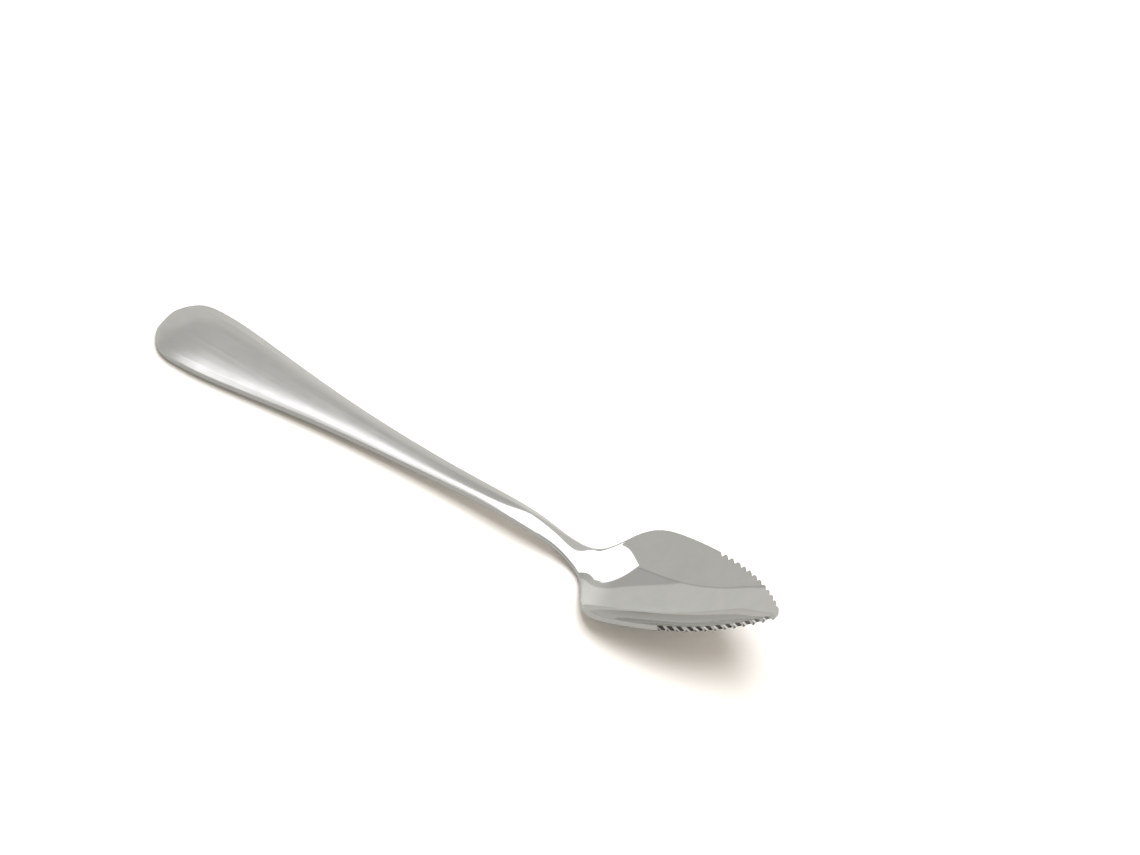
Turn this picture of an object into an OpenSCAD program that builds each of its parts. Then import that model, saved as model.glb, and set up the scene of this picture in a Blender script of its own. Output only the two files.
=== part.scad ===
// Grapefruit spoon, stamped from one piece of stainless steel and mirror polished.
// It lies as on a table: +X runs from the handle's end to the bowl's tip, +Z is up,
// and the origin is under the middle of the spoon, on the table.
// The one stamping is drawn as four zones that meet face to face: handle, stem, neck and bowl.
// All four are lofts through the same smooth stations, so that one surface runs through them.

/* [Lengths] */
// Broad part of the handle, from its rounded end to where the stem starts
handle_l = 64; // [48:1:84]
// Slender stem between the handle and the neck
stem_l = 36; // [24:1:50]
// Bend that drops from the stem to the bowl
neck_l = 13; // [10:0.5:18]
// Bowl, from the neck to its tip
bowl_l = 51; // [42:0.5:60]

/* [Widths] */
// Widest part of the handle, near its end
handle_w = 16.9; // [12:0.1:22]
// Stem across, where it is even
stem_w = 4.6; // [3.4:0.1:6]
// Neck across at its waist
neck_w = 4; // [3:0.1:6]
// Bowl across at its shoulders
bowl_w = 27.6; // [22:0.2:34]

/* [Steel thickness] */
// Handle
handle_t = 2.2; // [1.6:0.1:3]
// Stem
stem_t = 2.8; // [2:0.1:3.6]
// Neck, where it bends
neck_t = 2.5; // [2:0.1:3.4]
// Wall of the bowl
bowl_t = 1.8; // [1.2:0.1:2.4]

/* [Heights above the table] */
// Top face where the handle is widest
handle_z = 3; // [2.6:0.1:5]
// Top of the arch, at the stem's front end
stem_z = 6.4; // [5:0.1:9]
// Top face where the neck meets the bowl
heel_z = 2.9; // [2.7:0.1:4]
// Top of the bowl's raised tip
tip_z = 22.4; // [16:0.2:26]
// Depth of the dish below its rim
bowl_depth = 6.2; // [4.5:0.1:7]

/* [Serrations] */
// Flutes on each side of the tip
flutes = 12; // [6:1:13]
// Spacing of the flutes along the rim
flute_pitch = 2.05; // [1.8:0.05:2.2]
// Radius of a flute
flute_r = 0.76; // [0.5:0.02:0.85]
// How far a flute bites into the rim
flute_depth = 0.8; // [0.4:0.05:1.1]
// Whole point left at the tip, measured along the rim to the first flute
tip_land = 2.3; // [1.8:0.1:4]

/* [Hidden] */

// Sections between two neighbouring stations, and samples of the rim between two
long_steps = 4;
bowl_steps = 6;
rim_steps = 16;
flute_fn = 24;

// Squareness of the edge: a low number rounds it over, a high one leaves a cut face
handle_edge = 4;
stem_edge = 2.6;
neck_edge = 3;
bowl_edge = 9;

// Climb of the arch, drop of the neck and climb of the bowl
arch_rise = stem_z - handle_z;
neck_drop = heel_z - stem_z;
bowl_rise = tip_z - heel_z;

// Where each zone starts, measured from the handle's end
neck_x = handle_l + stem_l;
bowl_x = neck_x + neck_l;
spoon_l = bowl_x + bowl_l;

// Each zone's stations, as shares of that zone's own sizes: how far along it the station is,
// half its width there, its climb, its thickness, and in the bowl the depth of the dish.
// The climb is counted from the table at the handle's end, and then from the zone before.
// The first two stations and the last two share a place, which turns the outline squarely
// across the middle line there.
handle_end_shares = [
    [0, 0, 0.85, 0.6],
    [0, 0.202, 0.98, 0.85],
    [0.054, 0.455, 1.12, 1],
];
handle_shares = [
    [0.123, 0.521, 0, 1],
    [0.294, 0.481, 0.11, 1],
    [0.547, 0.342, 0.25, 1],
    [0.766, 0.245, 0.385, 1],
    [1, 0.184, 0.515, 1],
];
stem_shares = [
    [0.38, 0.535, 0.71, 1],
    [0.7, 0.49, 0.94, 1],
    [1, 0.52, 1, 1],
];
neck_shares = [
    [0.6, 0.482, 0.46, 1],
    [1, 0.725, 1.05, 0.88],
];
bowl_shares = [
    [0.07, 0.17, 0, 1, 0.12],
    [0.12, 0.335, 0.07, 1, 0.36],
    [0.215, 0.515, 0.16, 1, 0.72],
    [0.37, 0.496, 0.325, 1, 0.98],
    [0.55, 0.445, 0.51, 1, 1],
    [0.725, 0.354, 0.7, 1, 0.8],
    [0.865, 0.228, 0.855, 1, 0.48],
    [0.96, 0.104, 0.955, 1, 0.18],
    [1, 0.034, 1, 0.95, 0.03],
    [1, 0, 1, 0.9, 0],
];

// Columns of the table of stations
PLACE = 0;
HALF_W = 1;
TOP = 2;
THICK = 3;
DISH = 4;
EDGE = 5;

// All stations in one table, in real sizes
STATIONS = concat(
    [for (s = handle_end_shares)
        [handle_l * s[0], handle_w * s[1], handle_t * s[2], handle_t * s[3], 0, handle_edge]],
    [for (s = handle_shares)
        [handle_l * s[0], handle_w * s[1], handle_z + arch_rise * s[2], handle_t * s[3], 0, handle_edge]],
    [for (s = stem_shares)
        [handle_l + stem_l * s[0], stem_w * s[1], handle_z + arch_rise * s[2], stem_t * s[3], 0, stem_edge]],
    [for (s = neck_shares)
        [neck_x + neck_l * s[0], neck_w * s[1], stem_z + neck_drop * s[2], neck_t * s[3], 0, neck_edge]],
    [for (s = bowl_shares)
        [bowl_x + bowl_l * s[0], bowl_w * s[1], heel_z + bowl_rise * s[2], bowl_t * s[3],
            bowl_depth * s[4], bowl_edge]]
);

// The zones meet at these stations
handle_end = len(handle_end_shares) + len(handle_shares) - 1;
stem_end = handle_end + len(stem_shares);
neck_end = stem_end + len(neck_shares);
tip_end = neck_end + len(bowl_shares);

// Beyond each end the stations repeat in reverse, with the half width turned over
function sided(row, side) = [for (c = [PLACE:EDGE]) c == HALF_W ? row[c] * side : row[c]];
function station(i) =
    i < 0 ? sided(STATIONS[-i], -1)
    : i > tip_end ? sided(STATIONS[2 * tip_end - i], -1)
    : STATIONS[i];

// Uniform cubic B-spline through the stations, at station number t
function spline(t, column) =
    let (i = min(floor(t), tip_end - 1), u = t - i)
    (pow(1 - u, 3) * station(i - 1)[column]
    + (3 * pow(u, 3) - 6 * pow(u, 2) + 4) * station(i)[column]
    + (-3 * pow(u, 3) + 3 * pow(u, 2) + 3 * u + 1) * station(i + 1)[column]
    + pow(u, 3) * station(i + 2)[column]) / 6;

// Height of the underside along the middle line, before the spoon is set down
function underside(t) = [spline(t, PLACE), spline(t, TOP) - spline(t, THICK) - spline(t, DISH)];
function lowest(from, to, steps) =
    let (points = [for (k = [0:(to - from) * steps]) underside(from + k / steps)])
    let (least = min([for (p = points) p[1]]))
    [for (p = points) if (p[1] == least) p][0];

// The spoon rests on the handle's end and on the bowl's heel. The table passes through both.
end_foot = lowest(0, handle_end, long_steps);
heel_foot = lowest(neck_end, tip_end, bowl_steps);
table_slope = (heel_foot[1] - end_foot[1]) / (heel_foot[0] - end_foot[0]);
function table_z(t) = end_foot[1] + table_slope * (spline(t, PLACE) - end_foot[0]);
function top_z(t) = spline(t, TOP) - table_z(t);

// Points across a section, as shares of its half width, closer together at the edges
across_shares = [-1, -0.995, -0.96, -0.86, -0.66, -0.36, 0, 0.36, 0.66, 0.86, 0.96, 0.995, 1];
last_across = len(across_shares) - 1;

// One closed section: the middle surface dips by the dish, and the edge rounds the faces in
function half_thickness(t, share) =
    let (edge = spline(t, EDGE))
    spline(t, THICK) / 2 * pow(1 - pow(abs(share), edge), 1 / edge);
function middle_z(t, share) =
    top_z(t) - spline(t, THICK) / 2 - spline(t, DISH) * (1 - share * share);
function section_point(t, share, face) = [
    spline(t, PLACE) - spoon_l / 2,
    spline(t, HALF_W) * share,
    middle_z(t, share) + face * half_thickness(t, share)
];
function section(t) = concat(
    [for (k = [0:last_across]) section_point(t, across_shares[k], 1)],
    [for (k = [last_across - 1:-1:1]) section_point(t, across_shares[k], -1)]
);

// Solid through the sections from one station to another. The two ends stop this share of a
// station short of the middle line, so that the last section is still a face.
end_gap_share = 0.12;
module loft(from, to, steps) {
    count = round((to - from) * steps);
    ts = [for (k = [0:count]) min(max(from + k / steps, end_gap_share), tip_end - end_gap_share)];
    rings = [for (t = ts) section(t)];
    n = len(rings[0]);
    points = [for (ring = rings) each ring];
    walls = [
        for (r = [0:count - 1])
        for (k = [0:n - 1])
        let (a = r * n + k, b = r * n + (k + 1) % n)
        each [[a, b, b + n], [a, b + n, a + n]]
    ];
    back = [for (k = [0:n - 1]) n - 1 - k];
    front = [for (k = [0:n - 1]) count * n + k];
    polyhedron(points = points, faces = concat(walls, [back, front]), convexity = 4);
}

// Distance along the rim, in plan, from the tip back to each sampled place on the outline
function plan(t) = [spline(t, PLACE), spline(t, HALF_W)];
rim_ts = [for (k = [0:rim_steps * (tip_end - neck_end)]) tip_end - k / rim_steps];
rim_gaps = [for (k = [0:len(rim_ts) - 1]) k == 0 ? 0 : norm(plan(rim_ts[k]) - plan(rim_ts[k - 1]))];
function summed(gaps, k = 0, total = 0) =
    k == len(gaps) ? [] : concat([total + gaps[k]], summed(gaps, k + 1, total + gaps[k]));
rim_travel = summed(rim_gaps);
rim_table = [for (k = [0:len(rim_ts) - 1]) [rim_travel[k], rim_ts[k]]];

// One flute's cutter stands square to the rim and opens outwards. Its run is its length to
// each side of the rim, and its reach is how far out it opens.
flute_reach = flute_r * 2;
flute_run = bowl_t * 2;
module flute_cutter(t) {
    before = t - 1 / rim_steps;
    after = t + 1 / rim_steps;
    along = plan(after) - plan(before);
    climb = top_z(after) - top_z(before);
    turn = atan2(along[0], -along[1]);
    tilt = atan2(climb, along[0]);
    outset = flute_r - flute_depth;
    translate([spline(t, PLACE) - spoon_l / 2, spline(t, HALF_W), top_z(t) - spline(t, THICK) / 2])
        rotate([0, -tilt, 0])
        rotate([0, 0, turn])
        hull() {
            translate([outset, 0, 0])
                cylinder(r = flute_r, h = flute_run * 2, center = true, $fn = flute_fn);
            translate([outset + flute_reach, 0, 0])
                cylinder(r = flute_r, h = flute_run * 2, center = true, $fn = flute_fn);
        }
}

// The cutters of both sides, counted back from the tip
module serrations() {
    for (k = [0:flutes - 1]) {
        t = lookup(tip_land + k * flute_pitch, rim_table);
        flute_cutter(t);
        mirror([0, 1, 0]) flute_cutter(t);
    }
}

// Broad flat grip with the rounded end, its edges rolled over by the polishing
module handle() {
    color("silver") loft(0, handle_end, long_steps);
}

// Slender stem, thicker and rounder than the handle
module stem() {
    color("silver") loft(handle_end, stem_end, long_steps);
}

// Bend that drops to the bowl and starts to spread
module neck() {
    color("gainsboro") loft(stem_end, neck_end, long_steps);
}

// Dished bowl with a raised, pointed tip and a fluted cutting rim round its front half
module bowl() {
    color("gainsboro") difference() {
        loft(neck_end, tip_end, bowl_steps);
        serrations();
    }
}

handle();
stem();
neck();
bowl();
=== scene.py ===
import math
from collections import namedtuple

import bmesh
import bpy
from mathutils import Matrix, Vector


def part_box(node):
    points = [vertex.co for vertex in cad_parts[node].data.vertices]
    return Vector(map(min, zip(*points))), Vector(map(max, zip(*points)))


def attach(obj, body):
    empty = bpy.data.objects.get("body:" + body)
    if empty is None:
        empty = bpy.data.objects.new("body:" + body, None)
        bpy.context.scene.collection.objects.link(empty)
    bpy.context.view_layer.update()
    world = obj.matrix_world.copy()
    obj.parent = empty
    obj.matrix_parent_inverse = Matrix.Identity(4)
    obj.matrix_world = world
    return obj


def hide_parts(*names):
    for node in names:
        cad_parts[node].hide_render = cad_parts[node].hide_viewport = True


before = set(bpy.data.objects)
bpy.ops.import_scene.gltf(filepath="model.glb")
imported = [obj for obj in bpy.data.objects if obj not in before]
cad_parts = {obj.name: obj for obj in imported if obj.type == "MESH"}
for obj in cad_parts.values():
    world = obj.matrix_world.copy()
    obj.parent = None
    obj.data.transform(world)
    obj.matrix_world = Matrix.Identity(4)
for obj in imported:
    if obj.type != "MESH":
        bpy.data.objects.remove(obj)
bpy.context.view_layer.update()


# The handle: the broad grip at the back of the one stamping that the spoon is. It is blanked from
# stainless strip with a round end, and the press gives it a slight crown and rolled edges. Here
# the flat blank is drawn out row by row, from the handle's end to the tip of the bowl.
MM = 0.001
HANDLE_L, HANDLE_W, HANDLE_T, HANDLE_Z = 64 * MM, 16.9 * MM, 2.2 * MM, 3.0 * MM
CROWN = 0.45 * MM
STEM_Z = 6.4 * MM
END_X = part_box("handle")[0][0]
STEM_X = END_X + HANDLE_L

# Columns from the middle line to the edge, as shares of the half width, and the share of the
# steel's thickness that each keeps: near the grip's end, along the grip, and where it narrows
ACROSS = 8
SHARES = (0, 0.32, 0.58, 0.79, 1)
FULL = (1, 1, 1, 1, 1)
GRIP_END = (1, 0.99, 0.95, 0.87, 0.62)
GRIP = (1, 0.99, 0.95, 0.87, 0.69)
TAPER = (1, 0.99, 0.945, 0.87, 0.72)
BAR = (1, 0.985, 0.915, 0.825, 0.71)

# A row across the strip: its place along the spoon, half its width, the height of the middle of
# the steel at the edge, its thickness, how far the press sinks its middle line (the crown is
# raised, so it counts as less than nothing), how flat that dish is, and its section. Each table
# of rows holds shares: of its piece's length, of its width, and of its own climb or fall. The
# first rows of the grip give their heights as shares of the steel's thickness.
Row = namedtuple("Row", "place half middle thick dish flat section")
handle_rows = []
for along, half, high, thick, section in (
    (0, 0.115, 0.9, 0.56, FULL),
    (0.0068, 0.215, 1.03, 0.76, GRIP_END),
    (0.027, 0.334, 1.19, 0.94, GRIP_END),
    (0.056, 0.432, 1.36, 1, GRIP_END),
    (0.0885, 0.487, 1.52, 1, GRIP),
    (0.1357, 0.506, 1.64, 1, GRIP),
    (0.208, 0.499, 1.73, 1, GRIP),
):
    crown = 2 * half * CROWN
    middle = (high - thick / 2) * HANDLE_T - crown
    handle_rows.append(Row(END_X + along * HANDLE_L, half * HANDLE_W, middle, thick * HANDLE_T,
                           -crown, 2, section))
for along, half, climb, crowned, section in (
    (0.294, 0.479, 0.25, 1, GRIP),
    (0.547, 0.342, 0.35, 0.8, GRIP),
    (0.766, 0.245, 0.43, 0.5, TAPER),
    (1, 0.184, 0.515, 0.2, BAR),
):
    crown = crowned * CROWN
    middle = HANDLE_Z + climb * (STEM_Z - HANDLE_Z) - HANDLE_T / 2 - crown
    handle_rows.append(Row(END_X + along * HANDLE_L, half * HANDLE_W, middle, HANDLE_T,
                           -crown, 2, section))

bpy.ops.object.select_all(action="DESELECT")
bpy.ops.mesh.primitive_grid_add(x_subdivisions=1, y_subdivisions=ACROSS, size=1)
spoon = bpy.context.object
spoon.name = "stamping"


def pick(test):
    """Selects the points of the blank whose place passes a test."""
    blank = bmesh.from_edit_mesh(spoon.data)
    bpy.ops.mesh.select_all(action="DESELECT")
    for point in blank.verts:
        point.select = test(point.co)
    blank.select_flush_mode()
    bmesh.update_edit_mesh(spoon.data)


def draw_out(rows):
    """Draws the blank out from its last row, which is selected, through the rows given."""
    for row in rows:
        last = strip[-1]
        step = (row.place - last.place, 0, 0)
        bpy.ops.mesh.extrude_region_move(TRANSFORM_OT_translate={"value": step})
        bpy.ops.transform.resize(value=(1, row.half / last.half, 1),
                                 center_override=(row.place, 0, 0))
        strip.append(row)


bpy.ops.object.mode_set(mode="EDIT")
bpy.ops.mesh.select_mode(type="VERT")
first, second = handle_rows[:2]
halfway = (first.place + second.place) / 2
bpy.ops.transform.resize(value=(second.place - first.place, 2 * first.half, 1))
bpy.ops.transform.translate(value=(halfway, 0, 0))
pick(lambda co: co.x > halfway)
bpy.ops.transform.resize(value=(1, second.half / first.half, 1))
strip = [first, second]
draw_out(handle_rows[2:])


# The stem: the slender bar between the grip and the bend, of the same steel and pressed with it.
# It is a touch thicker than the grip, softly rounded on top, and it arches up from the table.
STEM_L, STEM_W, STEM_T = 36 * MM, 4.6 * MM, 2.3 * MM
NECK_X = STEM_X + STEM_L
stem_rows = []
for along, half, climb in ((0.38, 0.535, 0.71), (0.7, 0.49, 0.94), (1, 0.52, 1)):
    middle = HANDLE_Z + climb * (STEM_Z - HANDLE_Z) - STEM_T / 2
    stem_rows.append(Row(STEM_X + along * STEM_L, half * STEM_W, middle, STEM_T, 0, 2, BAR))
draw_out(stem_rows)


# The neck: the bend that drops from the stem to the heel of the bowl, of the same steel. The
# press flattens it and lets it spread towards the bowl.
NECK_L, NECK_W, NECK_T, HEEL_Z = 13 * MM, 4.0 * MM, 2.3 * MM, 2.9 * MM
HEEL = (1, 0.98, 0.93, 0.86, 0.62)
BOWL_X = NECK_X + NECK_L
neck_rows = []
for along, half, fall, thick, section in (
    (0.6, 0.482, 0.46, 1, BAR),
    (1, 0.725, 1.05, 0.88, HEEL),
):
    middle = STEM_Z - fall * (STEM_Z - HEEL_Z) - thick * NECK_T / 2
    neck_rows.append(Row(NECK_X + along * NECK_L, half * NECK_W, middle, thick * NECK_T,
                         0, 2, section))
draw_out(neck_rows)


# The bowl: the dished, pointed front of the same stamping. Its sheet is thinner and cut square
# at the rim, and the press sinks it into a dish whose rim climbs to the tip.
BOWL_L, BOWL_W, BOWL_T, TIP_Z = 51 * MM, 27.6 * MM, 1.8 * MM, 22.4 * MM
BOWL_DEPTH = 6.2 * MM
SPREAD = (1, 1, 0.98, 0.95, 0.85)
TIP_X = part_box("bowl")[1][0]
bowl_rows = []
for along, half, climb, thick, dish, flat, section in (
    (0.07, 0.17, -0.025, 1, 0.01, 4, SPREAD),
    (0.12, 0.33, 0.04, 1, 0.225, 3, FULL),
    (0.215, 0.515, 0.16, 1, 0.73, 2.1, FULL),
    (0.37, 0.496, 0.325, 1, 0.98, 2.1, FULL),
    (0.55, 0.445, 0.51, 1, 1, 2, FULL),
    (0.725, 0.354, 0.7, 1, 0.75, 1.8, FULL),
    (0.865, 0.228, 0.855, 1, 0.35, 1.6, FULL),
    (0.96, 0.104, 0.955, 1, 0.11, 1.5, FULL),
    (1, 0.034, 1, 0.95, 0.03, 2, FULL),
):
    middle = HEEL_Z + climb * (TIP_Z - HEEL_Z) - thick * BOWL_T / 2
    bowl_rows.append(Row(BOWL_X + along * BOWL_L, half * BOWL_W, middle, thick * BOWL_T,
                         dish * BOWL_DEPTH, flat, section))
draw_out(bowl_rows)


# The whole stamping: one piece of stainless steel, so it gets its thickness and goes through the
# press in one. The even columns are drawn out towards the edges, the outer ones first, and the
# flat blank is made solid.
TINY = 0.01 * MM
NEAR = 0.02


def row_at(place):
    """The row of the strip nearest to a place along the spoon."""
    return min(strip, key=lambda row: abs(row.place - place))


for column in range(ACROSS // 2 - 1, 0, -1):
    even = 2 * column / ACROSS
    pick(lambda co: abs(abs(co.y) / row_at(co.x).half - even) < NEAR)
    bpy.ops.transform.resize(value=(1, SHARES[column] / even, 1), center_override=(0, 0, 0))

thickest = max(row.thick for row in strip)
spoon.vertex_groups.new(name="thickness")
for row in strip:
    for share, left in zip(SHARES, row.section):
        bpy.context.tool_settings.vertex_group_weight = left * row.thick / thickest
        pick(lambda co: abs(co.x - row.place) < TINY and abs(abs(co.y) - share * row.half) < TINY)
        bpy.ops.object.vertex_group_assign()
bpy.ops.mesh.select_all(action="SELECT")
bpy.ops.mesh.normals_make_consistent(inside=False)
bpy.ops.object.mode_set(mode="OBJECT")
steel = spoon.modifiers.new("steel", "SOLIDIFY")
steel.thickness = thickest
steel.offset = 0
steel.vertex_group = "thickness"
bpy.ops.object.modifier_apply(modifier="steel")

# While it is flat, the edges that stay crisp are creased: the bowl's square rim, the line where
# the grip's rolled edge starts, and the outline of the grip, stem and neck
RIM_SHARP, ROLL_SHARP, OUTLINE_SHARP = 0.6, 0.8, 0.85
UPRIGHT = 0.5
rim_start = BOWL_X + 0.1 * BOWL_L
roll_start, roll_end = END_X + 1.5 * MM, END_X + 0.6 * HANDLE_L
bpy.ops.object.mode_set(mode="EDIT")
bpy.ops.mesh.select_all(action="SELECT")
bpy.ops.mesh.normals_make_consistent(inside=False)
bpy.ops.mesh.select_mode(type="EDGE")
for sharp in (RIM_SHARP, ROLL_SHARP, OUTLINE_SHARP):
    bpy.ops.mesh.select_all(action="DESELECT")
    blank = bmesh.from_edit_mesh(spoon.data)
    for edge in blank.edges:
        levels = sorted(abs(face.normal.z) for face in edge.link_faces)
        xs = [point.co.x for point in edge.verts]
        spots = [abs(point.co.y) / row_at(point.co.x).half for point in edge.verts]
        on_outline = levels[0] < UPRIGHT < levels[1]
        on_roll = (all(abs(spot - SHARES[-2]) < NEAR for spot in spots)
                   and edge.link_faces[0].normal.z > UPRIGHT)
        if sharp == RIM_SHARP:
            edge.select = on_outline and min(xs) > rim_start
        elif sharp == ROLL_SHARP:
            edge.select = on_roll and roll_start < min(xs) and max(xs) < roll_end
        else:
            edge.select = on_outline and END_X + TINY < max(xs) < BOWL_X - TINY
    bmesh.update_edit_mesh(spoon.data)
    bpy.ops.transform.edge_crease(value=sharp)

# The press gives each row its height, the grip its crown and the bowl its dish
SMOOTH_LEVELS = 4
bpy.ops.mesh.select_mode(type="VERT")
for row in strip:
    for share in SHARES:
        pick(lambda co: abs(co.x - row.place) < TINY and abs(abs(co.y) - share * row.half) < TINY)
        sunk = row.dish * (1 - share ** row.flat)
        bpy.ops.transform.translate(value=(0, 0, row.middle - sunk))
bpy.ops.object.mode_set(mode="OBJECT")
smooth = spoon.modifiers.new("smooth", "SUBSURF")
smooth.levels = smooth.render_levels = SMOOTH_LEVELS
bpy.ops.object.modifier_apply(modifier="smooth")
bpy.ops.object.shade_smooth()

# It is set down, so that the handle's end and the bowl's heel both rest on the table
end_foot = min((point.co for point in spoon.data.vertices if point.co.x < 0), key=lambda co: co.z)
heel_foot = min((point.co for point in spoon.data.vertices if point.co.x > 0), key=lambda co: co.z)
rest_slope = (heel_foot.z - end_foot.z) / (heel_foot.x - end_foot.x)
pivot, drop = (end_foot.x, 0, end_foot.z), end_foot.z
bpy.ops.object.mode_set(mode="EDIT")
bpy.ops.mesh.select_all(action="SELECT")
bpy.ops.transform.rotate(value=-math.atan(rest_slope), orient_axis="Y", center_override=pivot)
bpy.ops.transform.translate(value=(0, 0, -drop))
bpy.ops.object.mode_set(mode="OBJECT")


def linear(code):
    """The linear colour of an sRGB hex code."""
    parts = [int(code[i:i + 2], 16) / 255 for i in (0, 2, 4)]
    return [c / 12.92 if c <= 0.04045 else ((c + 0.055) / 1.055) ** 2.4 for c in parts] + [1]


def add_node(tree, kind, settings=(), links=()):
    """Adds a node, with its settings by name or socket number, and links to its sockets."""
    node = tree.nodes.new(kind)
    for name, value in dict(settings).items():
        if isinstance(name, int) or name in node.inputs:
            node.inputs[name].default_value = value
        else:
            setattr(node, name, value)
    for socket, source in links:
        tree.links.new(source, node.inputs[socket])
    return node


# Mirror-polished stainless steel, buffed all over: the bowl, neck and stem mirror the room
# sharply, and the grip, worn by the hand and by washing, blurs it to a satin sheen. Its buffing
# lines run lengthwise. They are finer than the render shows, so they are drawn 0.6 mm apart, and
# faint clouds of a few millimetres make the polish a little uneven and its colour less pure.
GRIP_ROUGH, MIRROR_ROUGH, UNEVEN = 0.21, 0.05, 0.18
LINE_LENGTH, LINE_GAP, CLOUD = 20 * MM, 0.6 * MM, 4.5 * MM
mirror_steel = bpy.data.materials.new("mirror-polished stainless steel")
mirror_steel.use_nodes = True
tree = mirror_steel.node_tree
place = add_node(tree, "ShaderNodeTexCoord").outputs["Object"]
length = add_node(tree, "ShaderNodeSeparateXYZ", links=[("Vector", place)]).outputs["X"]
buffed = add_node(tree, "ShaderNodeMapRange", {
    "interpolation_type": "SMOOTHSTEP", "From Min": STEM_X, "From Max": BOWL_X,
    "To Min": GRIP_ROUGH, "To Max": MIRROR_ROUGH}, [("Value", length)])
line_place = add_node(tree, "ShaderNodeMapping", {
    "Scale": (1 / LINE_LENGTH, 1 / LINE_GAP, 1 / LINE_GAP)}, [("Vector", place)])
buffing_lines = add_node(tree, "ShaderNodeTexNoise", {"Scale": 1, "Detail": 3},
                         [("Vector", line_place.outputs["Vector"])])
clouds = add_node(tree, "ShaderNodeTexNoise", {"Scale": 1 / CLOUD, "Detail": 4},
                  [("Vector", place)])
marks = add_node(tree, "ShaderNodeMath", {"operation": "ADD"},
                 [(0, buffing_lines.outputs["Fac"]), (1, clouds.outputs["Fac"])])
uneven = add_node(tree, "ShaderNodeMapRange", {
    "From Min": 0.7, "From Max": 1.3, "To Min": 1 - UNEVEN, "To Max": 1 + UNEVEN},
    [("Value", marks.outputs["Value"])])
rough = add_node(tree, "ShaderNodeMath", {"operation": "MULTIPLY"},
                 [(0, buffed.outputs["Result"]), (1, uneven.outputs["Result"])])
hue = add_node(tree, "ShaderNodeMix", {
    "data_type": "RGBA", 6: linear("C9C8C5"), 7: linear("BFBFB9")},
    [("Factor", clouds.outputs["Fac"])])
shader = tree.nodes["Principled BSDF"]
shader.inputs["Metallic"].default_value = 1
tree.links.new(rough.outputs["Value"], shader.inputs["Roughness"])
tree.links.new(hue.outputs[2], shader.inputs["Base Color"])
spoon.data.materials.append(mirror_steel)


# The cutting teeth: a small round wheel grinds a row of flutes into the front of the bowl's rim,
# square to its run and deeper below than above, and leaves a tooth between each two. One wheel
# is modelled for each flute, spaced along the rim from the tip, on both sides.
FLUTES, PITCH, TIP_LAND = 12, 2.05 * MM, 2.3 * MM
FLUTE_R, FLUTE_DEPTH, WHEEL_LEAN = 0.97 * MM, 0.62 * MM, math.radians(20)
WHEEL_SIDES, WHEEL_LENGTH = 40, 2.4 * BOWL_T
ROWS_WALKED, STEPS = 8, 40


def rim(t):
    """The middle of the rim where the smooth curve through the rows passes row number t."""
    start = min(int(t), len(strip) - 2)
    u = t - start
    weights = ((1 - u) ** 3, 3 * u ** 3 - 6 * u ** 2 + 4,
               -3 * u ** 3 + 3 * u ** 2 + 3 * u + 1, u ** 3)
    rows = [strip[min(start + step, len(strip) - 1)] for step in (-1, 0, 1, 2)]
    x, y, z = (sum(w * value for w, value in zip(weights, values)) / 6
               for values in zip(*(row[:3] for row in rows)))
    return Vector((x, y, z - drop - rest_slope * (x - pivot[0])))


rim_path = [rim(len(strip) - 1 - step / STEPS) for step in range(ROWS_WALKED * STEPS)]
wheels = []
travelled, next_flute = rim_path[0].y, TIP_LAND
for here, there in zip(rim_path, rim_path[1:]):
    travelled += (there.xy - here.xy).length
    if travelled < next_flute or len(wheels) == 2 * FLUTES:
        continue
    next_flute += PITCH
    along = (here - there).normalized()
    outward = Vector((-along.y, along.x, 0)).normalized()
    centre = there + outward * (FLUTE_R - FLUTE_DEPTH)
    axis = along.cross(outward) * math.cos(WHEEL_LEAN) + outward * math.sin(WHEEL_LEAN)
    for side in (1, -1):
        bpy.ops.mesh.primitive_cylinder_add(vertices=WHEEL_SIDES, radius=FLUTE_R,
                                            depth=WHEEL_LENGTH)
        wheel = bpy.context.object
        turn = Vector((axis.x, side * axis.y, axis.z)).to_track_quat("Z", "Y")
        wheel.matrix_world = turn.to_matrix().to_4x4()
        wheel.location = (centre.x, side * centre.y, centre.z)
        wheels.append(wheel)
bpy.ops.object.select_all(action="DESELECT")
for wheel in wheels:
    wheel.select_set(True)
bpy.context.view_layer.objects.active = wheels[0]
bpy.ops.object.join()
wheels = bpy.context.object
bpy.ops.object.transform_apply(location=True, rotation=True, scale=True)

# Wheel-ground stainless steel: the flutes keep the dull drag marks of the wheel, about 0.25 mm
# apart here, because real ones are too fine to show. They are coloured dark, partly as duller steel
# and partly as painted shade in the hollow flutes. A painted highlight lightens the strip facing
# the tip.
DRAG_MARK = 0.25 * MM
HIGHLIGHT_FACING, HIGHLIGHT_EDGE, HIGHLIGHT_MIDDLE = (0.98, -0.2, 0), 0.965, 0.99
ground_steel = bpy.data.materials.new("wheel-ground steel with painted shade and highlight")
ground_steel.use_nodes = True
tree = ground_steel.node_tree
# Painted highlight: the part of the flutes whose face turns towards the tip is mixed to near white
facing = add_node(tree, "ShaderNodeVectorMath", {"operation": "DOT_PRODUCT", 1: HIGHLIGHT_FACING},
                  [(0, add_node(tree, "ShaderNodeNewGeometry").outputs["Normal"])])
painted_highlight = add_node(tree, "ShaderNodeMapRange", {"From Min": HIGHLIGHT_EDGE, "From Max": HIGHLIGHT_MIDDLE},
                 [("Value", facing.outputs["Value"])])
place = add_node(tree, "ShaderNodeTexCoord").outputs["Object"]
drag = add_node(tree, "ShaderNodeTexNoise", {"Scale": 1 / DRAG_MARK, "Detail": 2},
                [("Vector", place)])
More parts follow.
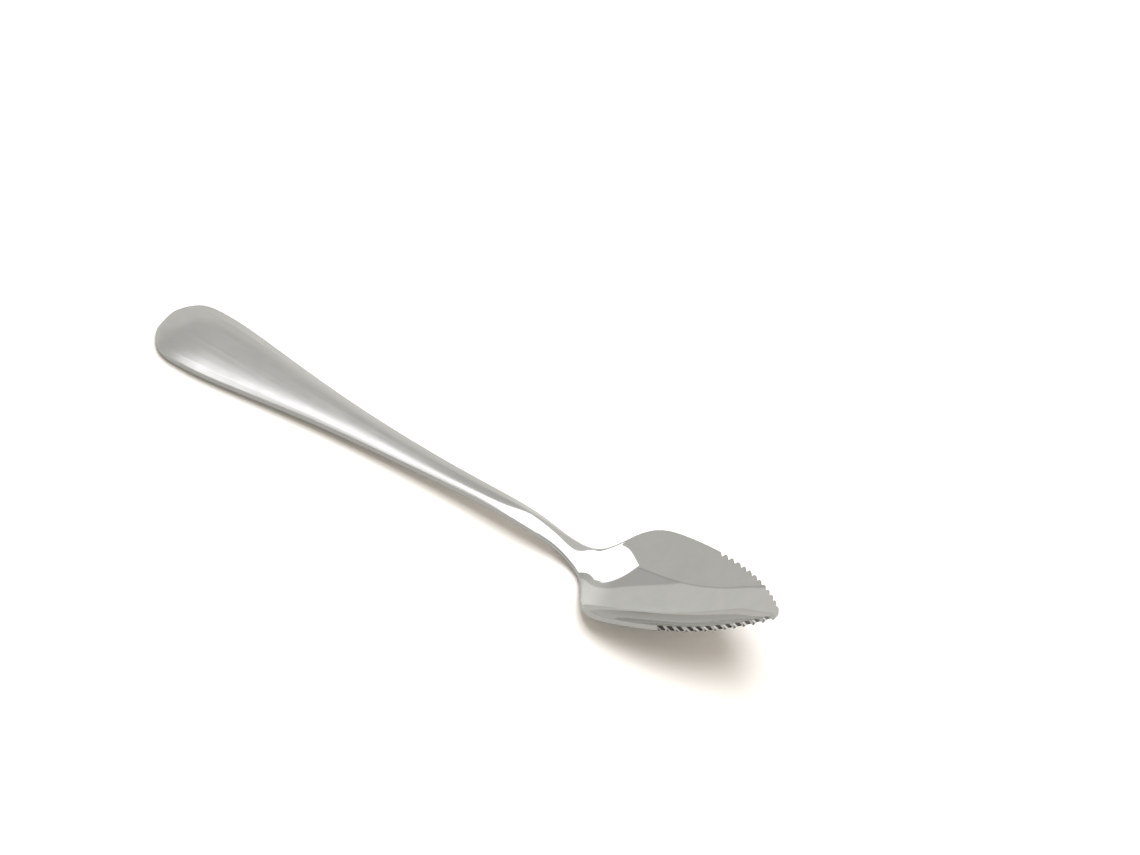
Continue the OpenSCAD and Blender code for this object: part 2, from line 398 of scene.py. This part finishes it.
# The dark drag-mark colours are partly the duller ground steel and partly painted shade in the
# flutes
dull_and_shaded = add_node(tree, "ShaderNodeMix", {
    "data_type": "RGBA", 6: linear("34322F"), 7: linear("5A5652")},
    [("Factor", drag.outputs["Fac"])])
tone = add_node(tree, "ShaderNodeMix", {"data_type": "RGBA", 7: linear("F4F3F0")},
                [("Factor", painted_highlight.outputs["Result"]), (6, dull_and_shaded.outputs[2])])
rough = add_node(tree, "ShaderNodeMapRange", {"To Min": 0.12, "To Max": 0.24},
                 [("Value", drag.outputs["Fac"])])
shader = tree.nodes["Principled BSDF"]
shader.inputs["Metallic"].default_value = 1
tree.links.new(tone.outputs[2], shader.inputs["Base Color"])
tree.links.new(rough.outputs["Result"], shader.inputs["Roughness"])
wheels.data.materials.append(ground_steel)

bpy.ops.object.select_all(action="DESELECT")
spoon.select_set(True)
bpy.context.view_layer.objects.active = spoon
grind = spoon.modifiers.new("grind", "BOOLEAN")
grind.operation = "DIFFERENCE"
grind.solver = "EXACT"
grind.material_mode = "TRANSFER"
grind.object = wheels
bpy.ops.object.modifier_apply(modifier="grind")
bpy.data.objects.remove(wheels)


# The four zones of the stamping, handle, stem, neck and bowl, are one steel and meet face to face.
# Each is a copy of the spoon with the rest cut away square and the cut closed. The cuts lie a
# touch beside the CAD's, between two rows of the mesh, so that no seam shows in the polish.
BESIDE = 0.13 * MM
SMOOTH_UP_TO = math.radians(35)
for name in ("handle", "stem", "neck", "bowl"):
    low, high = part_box(name)
    bpy.ops.object.select_all(action="DESELECT")
    spoon.select_set(True)
    bpy.context.view_layer.objects.active = spoon
    bpy.ops.object.duplicate()
    zone = bpy.context.object
    zone.name = name + "_polished"
    bpy.ops.object.mode_set(mode="EDIT")
    for cut, side in ((low[0], -1), (high[0], 1)):
        if END_X + MM < cut < TIP_X - MM:
            bpy.ops.mesh.select_all(action="SELECT")
            bpy.ops.mesh.bisect(plane_co=(cut + BESIDE, 0, 0), plane_no=(side, 0, 0),
                                use_fill=True, clear_outer=True)
    bpy.ops.object.mode_set(mode="OBJECT")
    bpy.ops.object.shade_smooth_by_angle(angle=SMOOTH_UP_TO)
    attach(zone, "root")
    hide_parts(name)
bpy.data.objects.remove(spoon)


# The table: a matt white paper sweep that the spoon lies on, and no part of it. The camera sees
# the paper white, and the steel mirrors it a little darker, as the room's shade leaves it.
TABLE, PAPER_LIFT = 0.9, 0.04
bpy.ops.mesh.primitive_plane_add(size=TABLE)
table = bpy.context.object
table.name = "table"
paper = bpy.data.materials.new("matt white paper")
paper.use_nodes = True
tree = paper.node_tree
seen = add_node(tree, "ShaderNodeLightPath").outputs["Is Camera Ray"]
sheet = add_node(tree, "ShaderNodeMix", {
    "data_type": "RGBA", 6: linear("C6C8CB"), 7: linear("FFFFFF")}, [("Factor", seen)])
lift = add_node(tree, "ShaderNodeMath", {"operation": "MULTIPLY", 1: PAPER_LIFT}, [(0, seen)])
shader = tree.nodes["Principled BSDF"]
shader.inputs["Roughness"].default_value = 1
shader.inputs["Specular IOR Level"].default_value = 0
shader.inputs["Emission Color"].default_value = linear("FFFFFF")
tree.links.new(sheet.outputs[2], shader.inputs["Base Color"])
tree.links.new(lift.outputs["Value"], shader.inputs["Emission Strength"])
table.data.materials.append(paper)


# The camera looks down on the spoon from its near side, 1.4 m away, along a line turned from +Y.
# Its lens and place were fitted to the outline of the spoon in the photograph.
VIEW_TURN, VIEW_FALL, VIEW_FROM = math.radians(35.55), math.radians(52.5), 1.4245
VIEW_AT = Vector((8.16 * MM, 28.51 * MM, 0))
ahead = Vector((-math.sin(VIEW_TURN), math.cos(VIEW_TURN), 0))
aside = Vector((math.cos(VIEW_TURN), math.sin(VIEW_TURN), 0))
up = Vector((0, 0, 1))
lens = bpy.data.cameras.new("camera")
lens.sensor_width = 36
lens.lens = 205.3
lens.clip_start = 0.05
camera = bpy.data.objects.new("camera", lens)
bpy.context.collection.objects.link(camera)
camera.location = VIEW_AT - VIEW_FROM * (ahead * math.cos(VIEW_FALL) - up * math.sin(VIEW_FALL))
camera.rotation_euler = (math.pi / 2 - VIEW_FALL, 0, VIEW_TURN)
bpy.context.scene.camera = camera


# The studio: a grey room round the table. What the steel mirrors of it is set apart from what
# lights the paper, so that the shadow stays deep. Mirrored, one wall meets the brighter ceiling
# in a thin dark line, the room darkens behind the camera and to the left, and the horizon is dim
# except on its open side. The camera itself sees plain white past the paper.
ROOM_LIGHT, WALL_SHADE = 0.52, 0.75
corner = (aside * 0.67 + ahead - up * 0.26).normalized()
world = bpy.data.worlds.new("studio")
bpy.context.scene.world = world
world.use_nodes = True
tree = world.node_tree
path = add_node(tree, "ShaderNodeLightPath")
mirrored, seen = path.outputs["Is Glossy Ray"], path.outputs["Is Camera Ray"]
toward = add_node(tree, "ShaderNodeTexCoord").outputs["Generated"]

# Each shade eases from one brightness to another as the view turns toward a direction: past the
# corner, up the ceiling, on the open side, behind the camera, on the right and on the left
shades = []
for direction, low, high, below, above in (
    (corner, -0.008, 0.008, 0, 1),
    (ahead - up * 1.2, -0.04, 0.02, 0.64, 0.86),
    (aside, -0.02, 0.18, 1, 0),
    (aside * 0.45 - ahead, 0.3, 0.9, 1, 0.35),
    (aside, 0, 0.28, 1, 1.33),
    (aside * -0.84 - ahead * 0.54, 0.8, 0.98, 1, 0.5),
):
    turned = add_node(tree, "ShaderNodeVectorMath", {"operation": "DOT_PRODUCT", 1: direction},
                      [(0, toward)])
    ramp = add_node(tree, "ShaderNodeMapRange", {
        "interpolation_type": "SMOOTHSTEP", "From Min": low, "From Max": high,
        "To Min": below, "To Max": above}, [("Value", turned.outputs["Value"])])
    shades.append(ramp.outputs["Result"])
past_corner, ceiling, open_side, *sides = shades

# Two dark lines, in the corner and a little below the horizon, ease out on either side
for direction, offset, low, high, dark in (
    (corner, 0, 0.006, 0.02, 0.78),
    (up, 0.015, 0.015, 0.045, 0.6),
):
    turned = add_node(tree, "ShaderNodeVectorMath", {"operation": "DOT_PRODUCT", 1: direction},
                      [(0, toward)])
    shifted = add_node(tree, "ShaderNodeMath", {"operation": "ADD", 1: offset},
                       [(0, turned.outputs["Value"])])
    apart = add_node(tree, "ShaderNodeMath", {"operation": "ABSOLUTE"},
                     [(0, shifted.outputs["Value"])])
    line = add_node(tree, "ShaderNodeMapRange", {
        "interpolation_type": "SMOOTHSTEP", "From Min": low, "From Max": high, "To Min": dark},
        [("Value", apart.outputs["Value"])])
    sides.append(line.outputs["Result"])
sides[-1] = add_node(tree, "ShaderNodeMath", {"operation": "MAXIMUM"},
                     [(0, sides[-1]), (1, open_side)]).outputs["Value"]
room = add_node(tree, "ShaderNodeMix", {"A": WALL_SHADE}, [("Factor", past_corner), ("B", ceiling)])
around = room.outputs["Result"]
for shade in sides:
    around = add_node(tree, "ShaderNodeMath", {"operation": "MULTIPLY"},
                      [(0, around), (1, shade)]).outputs["Value"]
strength = add_node(tree, "ShaderNodeMix", {"A": ROOM_LIGHT},
                    [("Factor", mirrored), ("B", around)])
backdrop = add_node(tree, "ShaderNodeMix", {"B": 1},
                    [("Factor", seen), ("A", strength.outputs["Result"])])
plain = add_node(tree, "ShaderNodeMath", {"operation": "MAXIMUM"}, [(0, mirrored), (1, seen)])
tint = add_node(tree, "ShaderNodeMix", {
    "data_type": "RGBA", 6: linear("FFF0DC"), 7: linear("FFFFFD")},
    [("Factor", plain.outputs["Value"])])
sky = tree.nodes["Background"]
tree.links.new(tint.outputs[2], sky.inputs["Color"])
tree.links.new(backdrop.outputs["Result"], sky.inputs["Strength"])


# The softbox: a lamp behind white diffuser cloth, hung flat a metre over the table. The lamp
# lights the paper and throws the spoon's shadow, and the cloth is what the steel mirrors as its
# white patches.
BOX_TURN = VIEW_TURN + math.radians(28)
BOX_SIZE, BOX_LIGHT = (0.62, 1.0), 5.6
CLOTH_SIZE, CLOTH_LIGHT = (0.79, 1.28), 2.5
box_at = VIEW_AT + aside * 0.186 + ahead * 0.087 + up
lamp = bpy.data.lights.new("overhead softbox", "AREA")
lamp.shape = "RECTANGLE"
lamp.size, lamp.size_y = BOX_SIZE
lamp.energy = BOX_LIGHT * math.pi * BOX_SIZE[0] * BOX_SIZE[1]
softbox = bpy.data.objects.new("overhead softbox", lamp)
bpy.context.collection.objects.link(softbox)
softbox.location = box_at
softbox.rotation_euler = (0, 0, BOX_TURN)
softbox.visible_glossy = False

bpy.ops.object.select_all(action="DESELECT")
bpy.ops.mesh.primitive_plane_add(size=1, location=box_at, rotation=(0, 0, BOX_TURN))
cloth = bpy.context.object
cloth.name = "softbox cloth"
cloth.scale = (*CLOTH_SIZE, 1)
bpy.ops.object.transform_apply(location=True, rotation=True, scale=True)
diffuser = bpy.data.materials.new("lit diffuser cloth")
diffuser.use_nodes = True
tree = diffuser.node_tree
tree.nodes.remove(tree.nodes["Principled BSDF"])
glow = add_node(tree, "ShaderNodeEmission", {"Color": linear("F9F8FF"), "Strength": CLOTH_LIGHT})
tree.links.new(glow.outputs["Emission"], tree.nodes["Material Output"].inputs["Surface"])
cloth.data.materials.append(diffuser)
cloth.visible_camera = cloth.visible_diffuse = cloth.visible_shadow = False

bpy.context.scene.view_settings.view_transform = "Standard"
